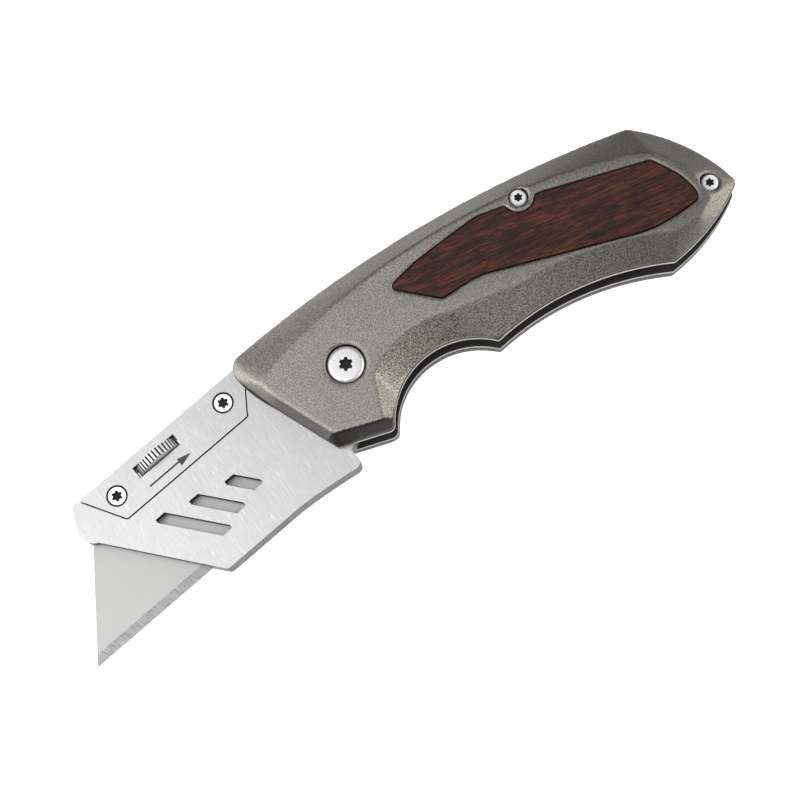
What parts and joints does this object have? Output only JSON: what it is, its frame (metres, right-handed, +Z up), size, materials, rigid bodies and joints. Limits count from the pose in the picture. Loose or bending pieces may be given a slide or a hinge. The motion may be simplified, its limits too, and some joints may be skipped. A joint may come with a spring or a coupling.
{
  "type": "folding utility knife",
  "caption": "Folding utility knife with a finger-grooved metal handle, wood inlays, a slotted blade carrier and a trapezoid blade held by a wheel-driven locking pin",
  "frame": {"origin": "on the fold axis, in the plane that the knife rests on with its rear scale down", "axes": "+X along the handle towards the butt, +Y towards the spine, +Z up through the handle's thickness, out of the front scale"},
  "size_m": [0.1519, 0.0404, 0.0158],
  "materials": {
    "scale": "gun-metal grey cast metal, satin, with a coarse sand texture on the lower facets",
    "inlay": "dark reddish rosewood, satin",
    "liner": "satin steel sheet",
    "spacer": "matte black",
    "screws": "bright polished steel",
    "washer": "plain bronze",
    "carrier": "light steel, finely brushed across the blade",
    "wheel": "bright steel",
    "blade": "matte light grey steel with a ground edge"
  },
  "bodies": {
    "handle": {"front_scale": "scale", "rear_scale": "scale", "front_inlay": "inlay", "rear_inlay": "inlay", "front_liner": "liner", "rear_liner": "liner", "back_spacer": "spacer", "stop_pin": "screws", "pivot_screw": "screws", "pivot_nut": "screws", "pivot_washers": "washer", "handle_screws": "screws", "handle_nuts": "screws"},
    "lock": {"lock_leaf": "liner", "detent_ball": "screws"},
    "carrier": {"carrier_body": "carrier", "carrier_cover": "carrier", "cover_screws": "screws", "blade": "blade"},
    "wheel": {"thumb_wheel": "wheel"},
    "pin": {"lock_pin": "wheel"}
  },
  "joints": [
    {"name": "carrier_fold", "type": "hinge", "parent": "handle", "child": "carrier", "pos_m": [0, 0, 0.0079], "axis": [0, 0, 1], "range_deg": [0, 160], "deforming": ["lock_leaf", "detent_ball"]},
    {"name": "lock_flex", "type": "hinge", "parent": "handle", "child": "lock", "pos_m": [0.035, -0.002, 0.0111], "axis": [0, 1, 0], "range_deg": [0, 4.2], "stiffness_Nm_per_rad": 1.2, "springref_deg": -1.72},
    {"name": "wheel_turn", "type": "hinge", "parent": "carrier", "child": "wheel", "pos_m": [-0.04, 0.00524, 0.0079], "axis": [-0.1685, 0.9857, 0], "range_deg": [0, 576]},
    {"name": "pin_slide", "type": "slide", "parent": "carrier", "child": "pin", "axis": [-0.1685, 0.9857, 0], "range_m": [0, 0.0024]}
  ],
  "couplings": [
    {"joint": "wheel_turn", "follows": "pin_slide", "rad_per_m": 4188.8}
  ]
}
